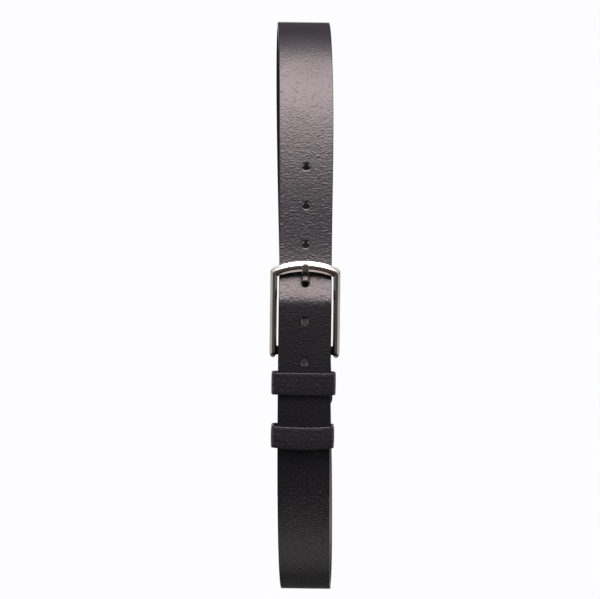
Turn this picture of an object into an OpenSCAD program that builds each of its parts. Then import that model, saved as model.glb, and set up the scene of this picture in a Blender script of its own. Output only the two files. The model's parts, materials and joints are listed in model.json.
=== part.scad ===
// Leather dress belt, fastened in its third hole and hanging as a closed loop.
// Millimetres. +Z is up, the buckle faces -Y, and the strap's width lies along X.
// The origin is the hanging point, on the inside of the top bend.

/* [Strap] */
// Width of the strap
strap_w = 35; // [28:1:42]
// Extra width of the strap over the back, from which it narrows to both ends
back_extra = 1.7; // [0:0.1:3]
// Thickness of the face leather
face_t = 1.4; // [1:0.1:1.8]
// Thickness of the stiffener between the leathers
core_t = 0.8; // [0.5:0.1:1.2]
// Thickness of the lining leather
lining_t = 1.4; // [1:0.1:1.8]
// Share of the thickness that is left where the buckle end is skived
skive = 0.66; // [0.6:0.01:0.8]
// Bevel of the strap's long edges
edge_bevel = 0.5; // [0.3:0.1:0.6]

/* [Loop] */
// Height of the hanging loop, outside
loop_h = 403; // [320:1:480]
// Depth of the hanging loop, outside
loop_d = 196; // [160:1:240]
// Lean of the far run against the near one
loop_twist = 2; // [0:0.05:3]

/* [Tip] */
// Distance of the tip's end below the loop's middle, before it is bent
tip_drop = 155; // [140:1:165]
// Length of the taper at the tip
tip_taper = 33; // [24:1:40]
// Width of the blunt end of the tip
tip_end_w = 23; // [18:1:28]
// Corner radius of the blunt end
tip_corner = 4; // [2:0.5:6]

/* [Holes] */
// Diameter of the punched holes
hole_d = 5.2; // [4.5:0.1:6]
// Distance from hole to hole along the strap
hole_pitch = 26.7; // [24:0.1:28]
// Number of free holes on the tip's side of the used one
holes_to_tip = 2; // [1:1:3]
// Number of free holes on the other side of the used one
holes_to_loop = 3; // [1:1:4]
// How much longer than round the used hole is worn
used_stretch = 2.4; // [2:0.1:3]

/* [Buckle] */
// Height of the buckle bar's axis below the loop's middle
bar_drop = 30; // [27:0.5:33]
// Diameter of the buckle bar
bar_d = 3.5; // [3:0.1:4]
// Height of the arch bar's crown above the loop's middle
crown_rise = 29.2; // [28.5:0.1:30]
// Height of the arch bar's face, at its crown
arch_face = 6.6; // [5.5:0.1:7.5]
// Radius of the arch bar's upper outline
arch_r = 56; // [50:1:70]
// Depth of the frame, front to back
frame_t = 4.4; // [3.5:0.1:5]
// Width of the frame's arms
arm_w = 4.6; // [4:0.1:5.5]
// Width of the prong
prong_w = 4.2; // [3:0.1:4.4]
// Thickness of the prong
prong_t = 2; // [1.6:0.1:2.2]

/* [Keepers] */
// Width of each keeper's band, along the strap
keeper_w = 14.6; // [12:0.5:18]
// Thickness of the keeper leather
keeper_t = 1.8; // [1.4:0.1:2.2]
// Distance of the fixed keeper's middle below the loop's middle
fixed_drop = 51; // [50:0.5:52]
// Distance of the sliding keeper's middle below the loop's middle
sliding_drop = 86.5; // [84:0.5:92]
// Tilt of the sliding keeper on the strap
sliding_tilt = 7; // [0:0.5:9]

/* [Fits] */
// Gap between layers of the strap that lie on each other
layer_gap = 0.3; // [0.2:0.05:0.4]
// Gap between the strap's edges and the frame or a keeper
side_gap = 1.1; // [0.8:0.1:1.6]
// Glue line between the strap's layers
bond_line = 0.02; // [0.01:0.01:0.05]
// Running clearance of the prong on the bar, on the radius
bar_clear = 0.05; // [0.03:0.01:0.1]

/* [Hidden] */
$fn = 48;
eps = 0.01;

strap_t = face_t + core_t + lining_t;
skived_t = strap_t * skive;
half_h = (loop_h - strap_t) / 2;
half_d = (loop_d - strap_t) / 2;
centre_z = -(half_h - strap_t / 2);
degree = 180 / PI;

// ---- The loop: an ellipse of angle a, 0 at the buckle, 90 at the top, 180 at the far side ----

function ease(x) = let (c = min(max(x, 0), 1)) c * c * (3 - 2 * c);
function ease_between(x, a, b) = ease((x - a) / (b - a));
function unit(v) = v / norm(v);
function angle_at(z) = asin(z / half_h);
function twist_x(a) = -half_h * sin(a) * tan(loop_twist) * (1 - cos(a)) / 2;
function loop_point(a) = [twist_x(a), -half_d * cos(a), half_h * sin(a)];
function loop_normal(a) = unit([0, -half_h * cos(a), half_d * sin(a)]);
function tilt_at(z) = let (n = loop_normal(angle_at(z))) atan2(n[2], -n[1]);

// A point at an angle on the loop, moved out from it.
function off_loop(a, out) = loop_point(a) + out * loop_normal(a);
// A point on the near run at a height, moved out from the loop.
function near_point(z, out) = off_loop(angle_at(z), out);

// ---- How far each run lies out from the loop, by its height on the near side ----

lap_out = strap_t + layer_gap;
hump_rise = 0.6;
hump_out = lap_out + hump_rise;
upper_in = 9;
hump_z = 0;
hump_fall = 9.8;
settle_z = -34;
near_z = 45;

// Above the hump the strap falls back behind the arch bar, steeply at first, and keeps a flatter bend.
function hump_left(z) = let (x = max(z - hump_z, 0) / hump_fall) (1 + x) * exp(-x);
function tip_out(a) =
    let (z = half_h * sin(a))
    z > hump_z ? hump_out * hump_left(z) - upper_in * cos(a) * (1 - hump_left(z)) :
    lap_out + (hump_out - lap_out) * ease_between(z, settle_z, hump_z);
function tip_point(a) = off_loop(a, tip_out(a));

// ---- The turned-back end, round the bar ----

fold_clear = 0.15;
fold_r = bar_d / 2 + fold_clear + skived_t - strap_t / 2;
bar_z = -bar_drop;
bar_centre = near_point(bar_z, -fold_r);
fold_tilt = tilt_at(bar_z);
fixed_z = -fixed_drop;
turn_over = 10.5;
turn_end_z = fixed_z - keeper_w / 2 - turn_over;
fixed_back = skived_t - strap_t / 2 + layer_gap;
turn_in = 2 * fold_r;
keeper_in = fixed_back + keeper_t + layer_gap + skived_t - strap_t / 2;
end_in = 2 * skived_t - strap_t + layer_gap / 2;
settle_from = 0.5;
settle_flat = 6;
turn_skew = 1.6;
turn_corner = 7;
skive_run = 20;
full_z = turn_end_z - skive_run;

// The turned-back end passes behind the fixed keeper's back leg, then comes up to the strap.
function turn_depth(z) =
    let (
        past_keeper = ease_between(-z, bar_drop, -(fixed_z + keeper_w / 2)),
        settled = ease_between(-z, -(fixed_z - keeper_w / 2 - settle_from), -(turn_end_z + settle_flat))
    )
    turn_in + (keeper_in - turn_in) * past_keeper + (end_in - keeper_in) * settled;
function turn_point(z) =
    near_point(z, -turn_depth(z)) + [turn_skew * ease_between(-z, bar_drop, -turn_end_z), 0, 0];
function fold_point(turn) =
    bar_centre + fold_r * [0, sin(fold_tilt + turn), cos(fold_tilt + turn)];

// ---- The centre line, from the turned-back end to the tip: a list of [point, half width, share] ----

function span_list(from, to, count) = [for (i = [0:count - 1]) from + (to - from) * i / count];

// The outline of a blunt end: the half width at a distance from the end.
function rounded_half(half, corner, s) =
    s >= corner ? half : half - corner + sqrt(corner * corner - (corner - s) * (corner - s));
function tip_half(s, a) =
    let (
        full = body_half(a),
        blunt = tip_end_w / 2,
        at_corner = blunt + (full - blunt) * tip_corner / tip_taper
    )
    s >= tip_taper ? full :
    s >= tip_corner ? blunt + (full - blunt) * s / tip_taper :
    rounded_half(at_corner, tip_corner, s);

turn_heights = concat(
    [for (s = [0, 0.5, 1.2, 2.2, 3.5, 5]) turn_end_z + s],
    span_list(turn_end_z + turn_corner, bar_z, 12));
turn_rows = [
    for (z = turn_heights)
        [turn_point(z), rounded_half(strap_w / 2, turn_corner, z - turn_end_z), skive]];
fold_rows = [for (turn = span_list(90, -90, 12)) [fold_point(turn), strap_w / 2, skive]];

function lap_share(z) = skive + (1 - skive) * ease_between(-z, -turn_end_z, -full_z);
near_end = angle_at(-tip_drop);
lap_rows = [
    for (a = span_list(angle_at(bar_z), near_end, 34))
        [loop_point(a), strap_w / 2, lap_share(half_h * sin(a))]];

near_a = angle_at(near_z) - 360;
// The half width, full from the far run to the upper near run.
function body_half(a) =
    (strap_w + back_extra * (ease_between(-a, 90, 150) - ease_between(-a, 315, 352))) / 2;
// The loop's own ellipse up to its top, and the flatter upper near run from there.
far_rows = [for (a = span_list(near_end, -270, 66)) [loop_point(a), body_half(a), 1]];

tip_a = angle_at(-tip_drop) - 360;
function tip_speed(a) = norm(tip_point(a + 0.5) - tip_point(a - 0.5)) * degree;
function along(a, distance, steps) =
    steps == 0 ? a :
    let (part = distance / steps)
    along(a - part / tip_speed(a) * degree, distance - part, steps - 1);
function back_from_tip(s) = along(tip_a, -s, 12);
taper_a = back_from_tip(tip_taper);
corner_a = back_from_tip(tip_corner);
// Shares of the corner's radius at which the outline of the tip's end is stepped.
corner_steps = [0, 0.1, 0.225, 0.4, 0.65, 1];
tip_angles = concat(
    span_list(-270, near_a, 26),
    span_list(near_a, angle_at(settle_z) - 360, 28),
    span_list(angle_at(settle_z) - 360, taper_a, 20),
    span_list(taper_a, corner_a, 6),
    [for (i = [len(corner_steps) - 1:-1:0]) back_from_tip(corner_steps[i] * tip_corner)]);
tip_rows = [
    for (i = [0:len(tip_angles) - 1])
        let (
            a = tip_angles[i],
            z = half_h * sin(a),
            last = len(tip_angles) - 1 - i,
            s = a > taper_a ? tip_taper : a > corner_a ? tip_reach(a) :
                corner_steps[last] * tip_corner
        )
        [tip_point(a), tip_half(s, a), 1]];
// Distance back from the tip's end to an angle, close enough for the taper's width.
function tip_reach(a) = tip_corner + (tip_taper - tip_corner) * (a - corner_a) / (taper_a - corner_a);

rows = concat(turn_rows, fold_rows, lap_rows, far_rows, tip_rows);
row_count = len(rows);

function row_tangent(i) =
    let (after = min(i + 1, row_count - 1), before = max(i - 1, 0))
    unit(rows[after][0] - rows[before][0]);
// Across the strap: X, made square to the tangent.
function row_across(i) = let (t = row_tangent(i)) unit([1, 0, 0] - t[0] * t);
// Out of the strap's face.
function row_out(i) = cross(row_tangent(i), row_across(i));

// A layer of the strap: its outline carried along the rows. Each four-cornered facet is split from its
// -X corner to the next row's +X corner, so that two layers meet in the same triangles.
module strap_layer(outline) {
    points = [
        for (i = [0:row_count - 1])
            let (
                row = rows[i],
                across = row_across(i),
                out = row_out(i)
            )
            for (q = outline)
                row[0] + q[0] * (row[1] - q[1]) * across + (strap_t / 2 - q[2] * row[2]) * out];
    ring = len(outline);
    sides = [
        for (i = [0:row_count - 2])
            for (j = [0:ring - 1])
                let (
                    a = i * ring + j,
                    b = i * ring + (j + 1) % ring
                )
                each outline[j][0] < 0 ?
                    [[a, a + ring, b + ring], [a, b + ring, b]] :
                    [[a, a + ring, b], [b, a + ring, b + ring]]];
    start_cap = [for (j = [0:ring - 1]) j];
    end_cap = [for (j = [ring - 1:-1:0]) (row_count - 1) * ring + j];
    polyhedron(points = points, faces = concat([start_cap], sides, [end_cap]));
}

// Outlines: each corner is [side, distance in from the edge, depth].
function face_outline() = [
    [-1, edge_bevel, 0], [1, edge_bevel, 0], [1, 0, edge_bevel], [1, 0, face_t],
    [-1, 0, face_t], [-1, 0, edge_bevel]];
function core_outline() = [
    [-1, 0, face_t + bond_line], [1, 0, face_t + bond_line],
    [1, 0, face_t + core_t - bond_line], [-1, 0, face_t + core_t - bond_line]];
function lining_outline() = [
    [-1, 0, face_t + core_t], [1, 0, face_t + core_t], [1, 0, strap_t - edge_bevel],
    [1, edge_bevel, strap_t], [-1, edge_bevel, strap_t], [-1, 0, strap_t - edge_bevel]];

// ---- Frames on the near run ----

module at_middle() {
    translate([0, 0, centre_z])
        children();
}

// Local frame on the near run: Z along the strap, -Y out of its face.
module on_run(point, tilt) {
    translate(point)
        rotate([-tilt, 0, 0])
            children();
}

// ---- The holes ----

slope_step = 0.3;
used_hole_z = 15;
used_a = angle_at(used_hole_z) - 360;
function hole_angle(k) = along(used_a, k * hole_pitch, 26);
// Tilt of the tip run's own face at an angle on the loop.
function tip_slope(a) =
    let (t = unit(tip_point(a - slope_step) - tip_point(a + slope_step)))
    atan2(-t[1], -t[2]);

module hole_cutter(k, stretch) {
    a = hole_angle(k);
    on_run(tip_point(a), tip_slope(a))
        for (end = [-1, 1])
            translate([0, 0, end * stretch / 2])
                rotate([90, 0, 0])
                    cylinder(h = strap_t * 2, d = hole_d, center = true);
}

module used_hole_cutter() {
    a = hole_angle(0);
    hole_cutter(0, used_stretch);
    on_run(tip_point(a), tip_slope(a))
        cube([hole_d, strap_t * 2, used_stretch], center = true);
}

module hole_cutters() {
    for (k = [-holes_to_loop:holes_to_tip])
        if (k != 0)
            hole_cutter(k, 0);
    used_hole_cutter();
}

// ---- The prong's slot in the fold, an oblong that ends in half rounds ----

slot_gap = 0.55;
slot_w = prong_w + 2 * slot_gap;
slot_end = 8;
slot_front = strap_t / 2 + layer_gap / 2;
slot_back = turn_in + strap_t;

module prong_slot() {
    on_run(near_point(bar_z, 0), fold_tilt) {
        translate([-slot_w / 2, -slot_front, -slot_end])
            cube([slot_w, slot_front + slot_back, slot_end * 2]);
        translate([0, slot_back, -slot_end])
            rotate([90, 0, 0])
                cylinder(h = slot_front + slot_back, d = slot_w);
    }
}

// ---- Rivets that clamp the turned-back end ----

rivet_x = 9;
rivet_from_end = 3.6;
rivet_z = turn_end_z + rivet_from_end;
rivet_d = 2.2;
rivet_head_d = 4.6;
rivet_head_t = 0.65;
rivet_sink = 0.7;
rivet_fit = 0.05;
rivet_cap_t = 1;
rivet_cap_gap = 0.35;
stack_front = strap_t / 2;
stack_back = end_in + strap_t / 2;

module at_rivets() {
    on_run(near_point(rivet_z, 0), tilt_at(rivet_z))
        for (side = [-1, 1])
            translate([side * rivet_x, 0, 0])
                rotate([-90, 0, 0])
                    children();
}

module rivet_cutters() {
    at_rivets() {
        translate([0, 0, -stack_front - eps])
            cylinder(h = rivet_sink + eps, d = rivet_head_d + 2 * rivet_fit);
        translate([0, 0, -stack_front])
            cylinder(h = stack_front + stack_back + strap_t, d = rivet_d + 2 * rivet_fit);
    }
}

// ---- Strap ----

module strap_cuts() {
    hole_cutters();
    prong_slot();
    rivet_cutters();
}

module strap_face() {
    color("#17171a")
        at_middle()
            difference() {
                strap_layer(face_outline());
                strap_cuts();
            }
}

module strap_core() {
    color("#4a4038")
        at_middle()
            difference() {
                strap_layer(core_outline());
                strap_cuts();
            }
}

module strap_lining() {
    color("#2a2624")
        at_middle()
            difference() {
                strap_layer(lining_outline());
                strap_cuts();
            }
}

module rivet_posts() {
    seat = -stack_front + rivet_sink;
    color("#8c8c90")
        at_middle()
            at_rivets() {
                translate([0, 0, seat - rivet_head_t])
                    cylinder(h = rivet_head_t, d = rivet_head_d);
                translate([0, 0, seat - eps])
                    cylinder(h = stack_back + rivet_cap_gap + rivet_cap_t / 2 - seat, d = rivet_d);
            }
}

module rivet_caps() {
    color("#8c8c90")
        at_middle()
            at_rivets()
                translate([0, 0, stack_back + rivet_cap_gap])
                    difference() {
                        cylinder(h = rivet_cap_t, d = rivet_head_d);
                        translate([0, 0, -eps])
                            cylinder(h = rivet_cap_t / 2 + 2 * eps, d = rivet_d);
                    }
}

// ---- Keepers ----

module rounded_plate(w, d, r) {
    square([w - 2 * r, d], center = true);
    square([w, d - 2 * r], center = true);
    for (x = [-1, 1])
        for (y = [-1, 1])
            translate([x * (w / 2 - r), y * (d / 2 - r)])
                circle(r = r);
}

// A closed band, its hole from front to back along Y, its height along Z.
module keeper_band(inner_w, front, back, corner) {
    depth = front + back;
    translate([0, (back - front) / 2, -keeper_w / 2])
        linear_extrude(height = keeper_w)
            difference() {
                rounded_plate(inner_w + 2 * keeper_t, depth + 2 * keeper_t, corner + keeper_t);
                rounded_plate(inner_w, depth, corner);
            }
}

staple_wire = 0.8;
staple_span = 7;
staple_fit = 0.02;

// Staple of square wire through a keeper's back leg: its crown is sunk in the band's inner side.
module staple(extra) {
    side = staple_wire + 2 * extra;
    for (end = [-1, 1])
        translate([-side / 2, -extra, end * staple_span / 2 - side / 2])
            cube([side, keeper_t + 2 * extra, side]);
    translate([-side / 2, -extra, -staple_span / 2])
        cube([side, side, staple_span]);
}

keeper_corner = 1.2;
fixed_shift = -0.4;
sliding_shift = -0.8;
sliding_narrower = 0.8;
keeper_ease = 0.85;
keeper_inner_w = strap_w + 2 * (side_gap + keeper_ease);
fixed_ease = 0.45;
fixed_front = lap_out + strap_t / 2 + fixed_ease;
tilt_ease = 0.9;
sliding_ease = keeper_w / 2 * sin(sliding_tilt) + tilt_ease;
sliding_front = lap_out + strap_t / 2 + sliding_ease;
sliding_back = strap_t / 2 + sliding_ease;
sliding_z = -sliding_drop;

module at_fixed() {
    at_middle()
        on_run(near_point(fixed_z, 0) + [fixed_shift, 0, 0], tilt_at(fixed_z))
            children();
}

module at_sliding() {
    at_middle()
        on_run(near_point(sliding_z, 0), tilt_at(sliding_z))
            translate([sliding_shift, 0, 0])
                rotate([-sliding_tilt, 0, 0])
                    children();
}

module fixed_keeper() {
    color("#1d1d20")
        at_fixed()
            difference() {
                keeper_band(keeper_inner_w, fixed_front, fixed_back, keeper_corner);
                translate([0, fixed_back, 0])
                    staple(staple_fit);
            }
}

module fixed_keeper_staple() {
    color("#9a9a9e")
        at_fixed()
            translate([0, fixed_back, 0])
                staple(0);
}

module sliding_keeper() {
    color("#1d1d20")
        at_sliding()
            difference() {
                keeper_band(keeper_inner_w - sliding_narrower, sliding_front, sliding_back, keeper_corner);
                translate([0, sliding_back, 0])
                    staple(staple_fit);
            }
}

module sliding_keeper_staple() {
    color("#9a9a9e")
        at_sliding()
            translate([0, sliding_back, 0])
                staple(0);
}

// ---- Buckle ----

frame_in_w = strap_w + 2 * side_gap;
frame_w = frame_in_w + 2 * arm_w;
arm_below = 4.5;
arm_end_z = bar_z - arm_below;
arch_narrows = 2.5;
arch_in_r = arch_r - arch_narrows;
arch_low_z = crown_rise - arch_face;
// Where the arch bar's lower edge crosses the strap's edges: it comes closest to the strap there.
arch_side_z = arch_low_z - arch_in_r + sqrt(arch_in_r * arch_in_r - strap_w * strap_w / 4);
arch_low_a = angle_at(arch_side_z);
tuck_slope = atan2(tip_out(arch_low_a - slope_step) - tip_out(arch_low_a + slope_step),
    half_h * (sin(arch_low_a + slope_step) - sin(arch_low_a - slope_step)));
arch_back_y = off_loop(arch_low_a, tip_out(arch_low_a) + strap_t / 2 / cos(tuck_slope) + layer_gap)[1];
lug_wall = 1.3;
lug_r = bar_d / 2 + lug_wall;
lug_in = 0.7;
lug_w = arm_w + lug_in;
bar_cover = 1.4;
bar_len = frame_in_w + 2 * (arm_w - bar_cover);

module frame_outline() {
    intersection() {
        translate([-frame_w / 2, arm_end_z])
            square([frame_w, crown_rise - arm_end_z]);
        translate([0, crown_rise - arch_r])
            circle(r = arch_r);
    }
}

module frame_opening() {
    intersection() {
        translate([-frame_in_w / 2, arm_end_z - 1])
            square([frame_in_w, crown_rise - arm_end_z]);
        translate([0, arch_low_z - arch_in_r])
            circle(r = arch_in_r);
    }
}

module buckle_frame() {
    color("#8f8a86")
        at_middle()
            difference() {
                union() {
                    translate([0, arch_back_y, 0])
                        rotate([90, 0, 0])
                            linear_extrude(height = frame_t)
                                difference() {
                                    frame_outline();
                                    frame_opening();
                                }
                    for (side = [-1, 1])
                        translate([side * (frame_w / 2 - lug_w / 2), 0, 0] + bar_centre)
                            rotate([0, 90, 0])
                                cylinder(h = lug_w, r = lug_r, center = true);
                }
                translate(bar_centre)
                    rotate([0, 90, 0])
                        cylinder(h = bar_len, d = bar_d, center = true);
            }
}

module buckle_bar() {
    color("#a8a8ac")
        at_middle()
            translate(bar_centre)
                rotate([0, 90, 0])
                    cylinder(h = bar_len, d = bar_d, center = true);
}

// ---- Prong: a strip wrapped round the bar, cranked through the used hole, resting on the arch ----

prong_bend_below = 4;
prong_bend_z = used_hole_z - prong_bend_below;
prong_bend_in = 5;
prong_rest = 0.12;
prong_short = 1.2;
prong_top_z = crown_rise - prong_short;
prong_low = 1;
prong_wall = 1.3;
prong_front_y = arch_back_y - frame_t - prong_rest - prong_t / 2;
prong_line = [
    [bar_centre[1], bar_centre[2]],
    [near_point(prong_bend_z, -prong_bend_in)[1], prong_bend_z],
    [prong_front_y, arch_low_z - prong_low],
    [prong_front_y, prong_top_z]];

function line_normal(i) =
    let (
        n = len(prong_line),
        a = unit(prong_line[max(i, 1)] - prong_line[max(i, 1) - 1]),
        b = unit(prong_line[min(i + 1, n - 1)] - prong_line[min(i, n - 2)]),
        m = unit(a + b)
    )
    [m[1], -m[0]] / (m * a);

module prong() {
    last = len(prong_line) - 1;
    color("#9a948e")
        at_middle()
            difference() {
                translate([-prong_w / 2, 0, 0])
                    rotate([90, 0, 90])
                        union() {
                            linear_extrude(height = prong_w)
                                polygon(concat(
                                    [for (i = [0:last]) prong_line[i] + line_normal(i) * prong_t / 2],
                                    [for (i = [last:-1:0]) prong_line[i] - line_normal(i) * prong_t / 2]));
                            translate([bar_centre[1], bar_centre[2], 0])
                                cylinder(h = prong_w, r = bar_d / 2 + bar_clear + prong_wall);
                        }
                translate(bar_centre)
                    rotate([0, 90, 0])
                        cylinder(h = prong_w * 2, r = bar_d / 2 + bar_clear, center = true);
            }
}

strap_face();
strap_core();
strap_lining();
rivet_posts();
rivet_caps();
fixed_keeper();
fixed_keeper_staple();
buckle_frame();
buckle_bar();
prong();
sliding_keeper();
sliding_keeper_staple();
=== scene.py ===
"""Leather dress belt, fastened and hanging as a closed loop: its looks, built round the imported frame.

The strap's layers follow one route, worked out as whole arrays: an ellipse of leather that starts at
its turned-back end, folds round the buckle's bar, runs down, round and over, and ends in the tip.
"""

import json
import logging
import math
from dataclasses import dataclass, field
from enum import Enum
from typing import Any, Sequence

import bpy
import numpy as np
from numpy.typing import NDArray
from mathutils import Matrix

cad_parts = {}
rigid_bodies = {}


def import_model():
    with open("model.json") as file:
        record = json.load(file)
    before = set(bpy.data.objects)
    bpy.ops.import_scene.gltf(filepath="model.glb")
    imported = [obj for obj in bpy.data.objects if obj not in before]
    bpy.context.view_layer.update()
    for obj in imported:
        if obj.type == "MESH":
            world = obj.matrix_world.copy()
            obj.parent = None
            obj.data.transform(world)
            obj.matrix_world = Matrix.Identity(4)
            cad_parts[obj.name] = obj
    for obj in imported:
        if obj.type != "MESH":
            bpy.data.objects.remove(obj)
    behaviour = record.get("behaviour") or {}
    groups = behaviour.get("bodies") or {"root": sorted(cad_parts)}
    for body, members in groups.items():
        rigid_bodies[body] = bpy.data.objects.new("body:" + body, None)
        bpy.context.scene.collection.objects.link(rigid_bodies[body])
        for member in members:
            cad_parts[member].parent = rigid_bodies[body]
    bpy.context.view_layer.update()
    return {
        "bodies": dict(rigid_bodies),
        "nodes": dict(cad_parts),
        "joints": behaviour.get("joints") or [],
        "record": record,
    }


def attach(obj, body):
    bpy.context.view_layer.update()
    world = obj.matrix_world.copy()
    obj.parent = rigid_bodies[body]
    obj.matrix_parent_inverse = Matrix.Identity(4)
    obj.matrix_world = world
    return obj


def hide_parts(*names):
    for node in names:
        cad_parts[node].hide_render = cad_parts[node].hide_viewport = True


Array = NDArray[np.float64]
Material = bpy.types.Material
log = logging.getLogger("belt")

MM = 0.001


# --- small sums


def ease_between(x: Array, low: float, high: float) -> Array:
    """Smooth step as x goes from low to high: 3c^2 - 2c^3, where c is its share of the way, 0 to 1."""
    c = np.clip((np.asarray(x, float) - low) / (high - low), 0.0, 1.0)
    return c * c * (3.0 - 2.0 * c)


def unit(v: Array) -> Array:
    """Each row of v at length one."""
    return v / np.linalg.norm(v, axis=-1, keepdims=True)


def run_length(line: Array) -> Array:
    """Length along a line of points, from 0 at the first."""
    return np.concatenate([[0.0], np.cumsum(np.linalg.norm(np.diff(line, axis=0), axis=1))])


def circle_points(turn: Array, radius: Array | float = 1.0) -> Array:
    """Points at angles on a circle: radius x (cosine, sine)."""
    return radius * np.stack([np.cos(turn), np.sin(turn)], axis=-1)


def round_over(distance: Array, radius: float) -> Array:
    """How deep a rounded edge lies at a distance in from it, in millimetres.

    The edge is a quarter circle: radius - sqrt(radius^2 - (radius - distance)^2), and 0 past the radius.
    """
    share = 1.0 - np.clip(distance / radius, 0.0, 1.0)
    return radius * (1.0 - np.sqrt(1.0 - share * share))


def fine_ends(length: float, step: float, fine: Sequence[float]) -> Array:
    """Stations from 0 to length, even in the middle and closer together near both ends.

    Args:
        length: where the last station lies.
        step: distance between stations in the middle.
        fine: the stations near one end, from 0 outwards.

    Returns:
        The stations in order.
    """
    near = np.asarray(fine, float)
    count = max(2, int(round((length - 2 * near[-1]) / step)))
    middle = np.linspace(near[-1], length - near[-1], count + 1)[1:-1]
    return np.concatenate([near, middle, length - near[::-1]])


# --- meshes


@dataclass
class Shell:
    """Points and four-cornered faces that are gathered, then made one mesh. Points are in millimetres."""

    points: list[Array] = field(default_factory=list)
    quads: list[Array] = field(default_factory=list)
    corners: list[Array] = field(default_factory=list)
    slots: list[Array] = field(default_factory=list)
    count: int = 0

    def add(self, points: Array, quads: Array, corner_uv: Array, slot: Array | int = 0) -> None:
        """Adds points, and faces between them.

        Args:
            points: the new points, one row each.
            quads: rows of four point numbers, counted over all the points so far.
            corner_uv: for each face, the flat place of its four corners in millimetres.
            slot: material slot of each face, or of all of them.
        """
        self.points.append(np.asarray(points, float).reshape(-1, 3))
        self.quads.append(np.asarray(quads, np.int64).reshape(-1, 4))
        self.corners.append(np.asarray(corner_uv, float).reshape(-1, 4, 2))
        self.slots.append(np.broadcast_to(np.asarray(slot), (len(self.quads[-1]),)).astype(np.int32))
        self.count += len(self.points[-1])

    def add_bands(self, points: Array, numbers: Array, places: Array, slot: Array | int, flip: bool) -> None:
        """Adds closed bands of faces between rows of points that go round a loop.

        Args:
            points: the new points.
            numbers: the rows' point numbers.
            places: the rows' flat places.
            slot: material slot of each face, or of all of them.
            flip: whether the faces look the other way.
        """
        number_after, place_after = np.roll(numbers, -1, axis=1), np.roll(places, -1, axis=1)
        quads = np.stack([numbers[:-1], numbers[1:], number_after[1:], number_after[:-1]], axis=-1)
        corner_uv = np.stack([places[:-1], places[1:], place_after[1:], place_after[:-1]], axis=2)
        order = slice(None, None, -1 if flip else 1)
        self.add(points, quads.reshape(-1, 4)[:, order], corner_uv.reshape(-1, 4, 2)[:, order], slot)

    def build(self, name: str, finishes: Sequence[Material], sharp: float = 42.0) -> bpy.types.Object:
        """Makes the gathered faces one object at the origin. A face with two equal corners is a triangle.

        Args:
            name: name of the piece.
            finishes: its materials, in slot order.
            sharp: angle in degrees from which an edge is shaded sharp.

        Returns:
            The new object, linked to the scene.
        """
        points = np.concatenate(self.points) * MM
        quads = np.concatenate(self.quads)
        kept = quads != np.roll(quads, -1, axis=1)
        whole = kept.sum(axis=1) >= 3
        quads, kept = quads[whole], kept[whole]
        corner_uv = (np.concatenate(self.corners) * MM)[whole][kept]
        starts = np.concatenate([[0], np.cumsum(kept.sum(axis=1))[:-1]])
        numbers = quads[kept]
        mesh = bpy.data.meshes.new(name)
        mesh.vertices.add(len(points))
        mesh.vertices.foreach_set("co", points.astype(np.float32).ravel())
        mesh.loops.add(len(numbers))
        mesh.loops.foreach_set("vertex_index", numbers.astype(np.int32))
        mesh.polygons.add(len(quads))
        mesh.polygons.foreach_set("loop_start", starts.astype(np.int32))
        mesh.polygons.foreach_set("material_index", np.concatenate(self.slots)[whole])
        mesh.uv_layers.new(name="surface").data.foreach_set("uv", corner_uv.astype(np.float32).ravel())
        mesh.update(calc_edges=True)
        mesh.validate()
        mesh.shade_smooth()
        mesh.set_sharp_from_angle(angle=math.radians(sharp))
        for finish in finishes:
            mesh.materials.append(finish)
        piece = bpy.data.objects.new(name, mesh)
        bpy.context.scene.collection.objects.link(piece)
        return piece


def grid_quads(rows: int, cols: int, wrap_rows: bool, wrap_cols: bool) -> tuple[Array, Array, Array]:
    """Faces of a grid of points that are numbered row by row.

    Args:
        rows: number of rows of points.
        cols: number of points in a row.
        wrap_rows: whether the last row joins the first.
        wrap_cols: whether the last point of a row joins its first.

    Returns:
        The faces, and the row and column of each face's corners before wrapping.
    """
    counts = np.arange(rows if wrap_rows else rows - 1), np.arange(cols if wrap_cols else cols - 1)
    i, j = np.meshgrid(*counts, indexing="ij")
    row = np.stack([i, i + 1, i + 1, i], axis=-1).reshape(-1, 4)
    col = np.stack([j, j, j + 1, j + 1], axis=-1).reshape(-1, 4)
    return (row % rows) * cols + col % cols, row, col


def add_tube(shell: Shell, points: Array, wrap_rows: bool = False, slot: Array | int = 0) -> None:
    """Adds a tube of rings to a shell. Open ends are closed by shrinking one more ring to a point.

    The flat place of a corner is its length along the tube and its length round the first ring.

    Args:
        shell: the shell that takes the faces.
        points: array of rings, each a row of points round the tube.
        wrap_rows: whether the last ring joins the first, which leaves no ends.
        slot: material slot of each face, or of all of them.
    """
    if not wrap_rows:
        ends = [np.broadcast_to(ring.mean(axis=0), ring.shape)[None] for ring in (points[0], points[-1])]
        points = np.concatenate([ends[0], points, ends[1]])
    rings, ring = points.shape[:2]
    quads, row, col = grid_quads(rings, ring, wrap_rows, True)
    if not wrap_rows:
        last = (rings - 1) * ring
        quads = np.where(quads < ring, 0, np.where(quads >= last, last, quads))
    along = run_length(np.concatenate([points, points[:1]])[:, 0])
    around = run_length(np.concatenate([points[0], points[0, :1]]))
    shell.add(points, quads + shell.count, np.stack([along[row], around[col]], axis=-1), slot)


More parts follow.
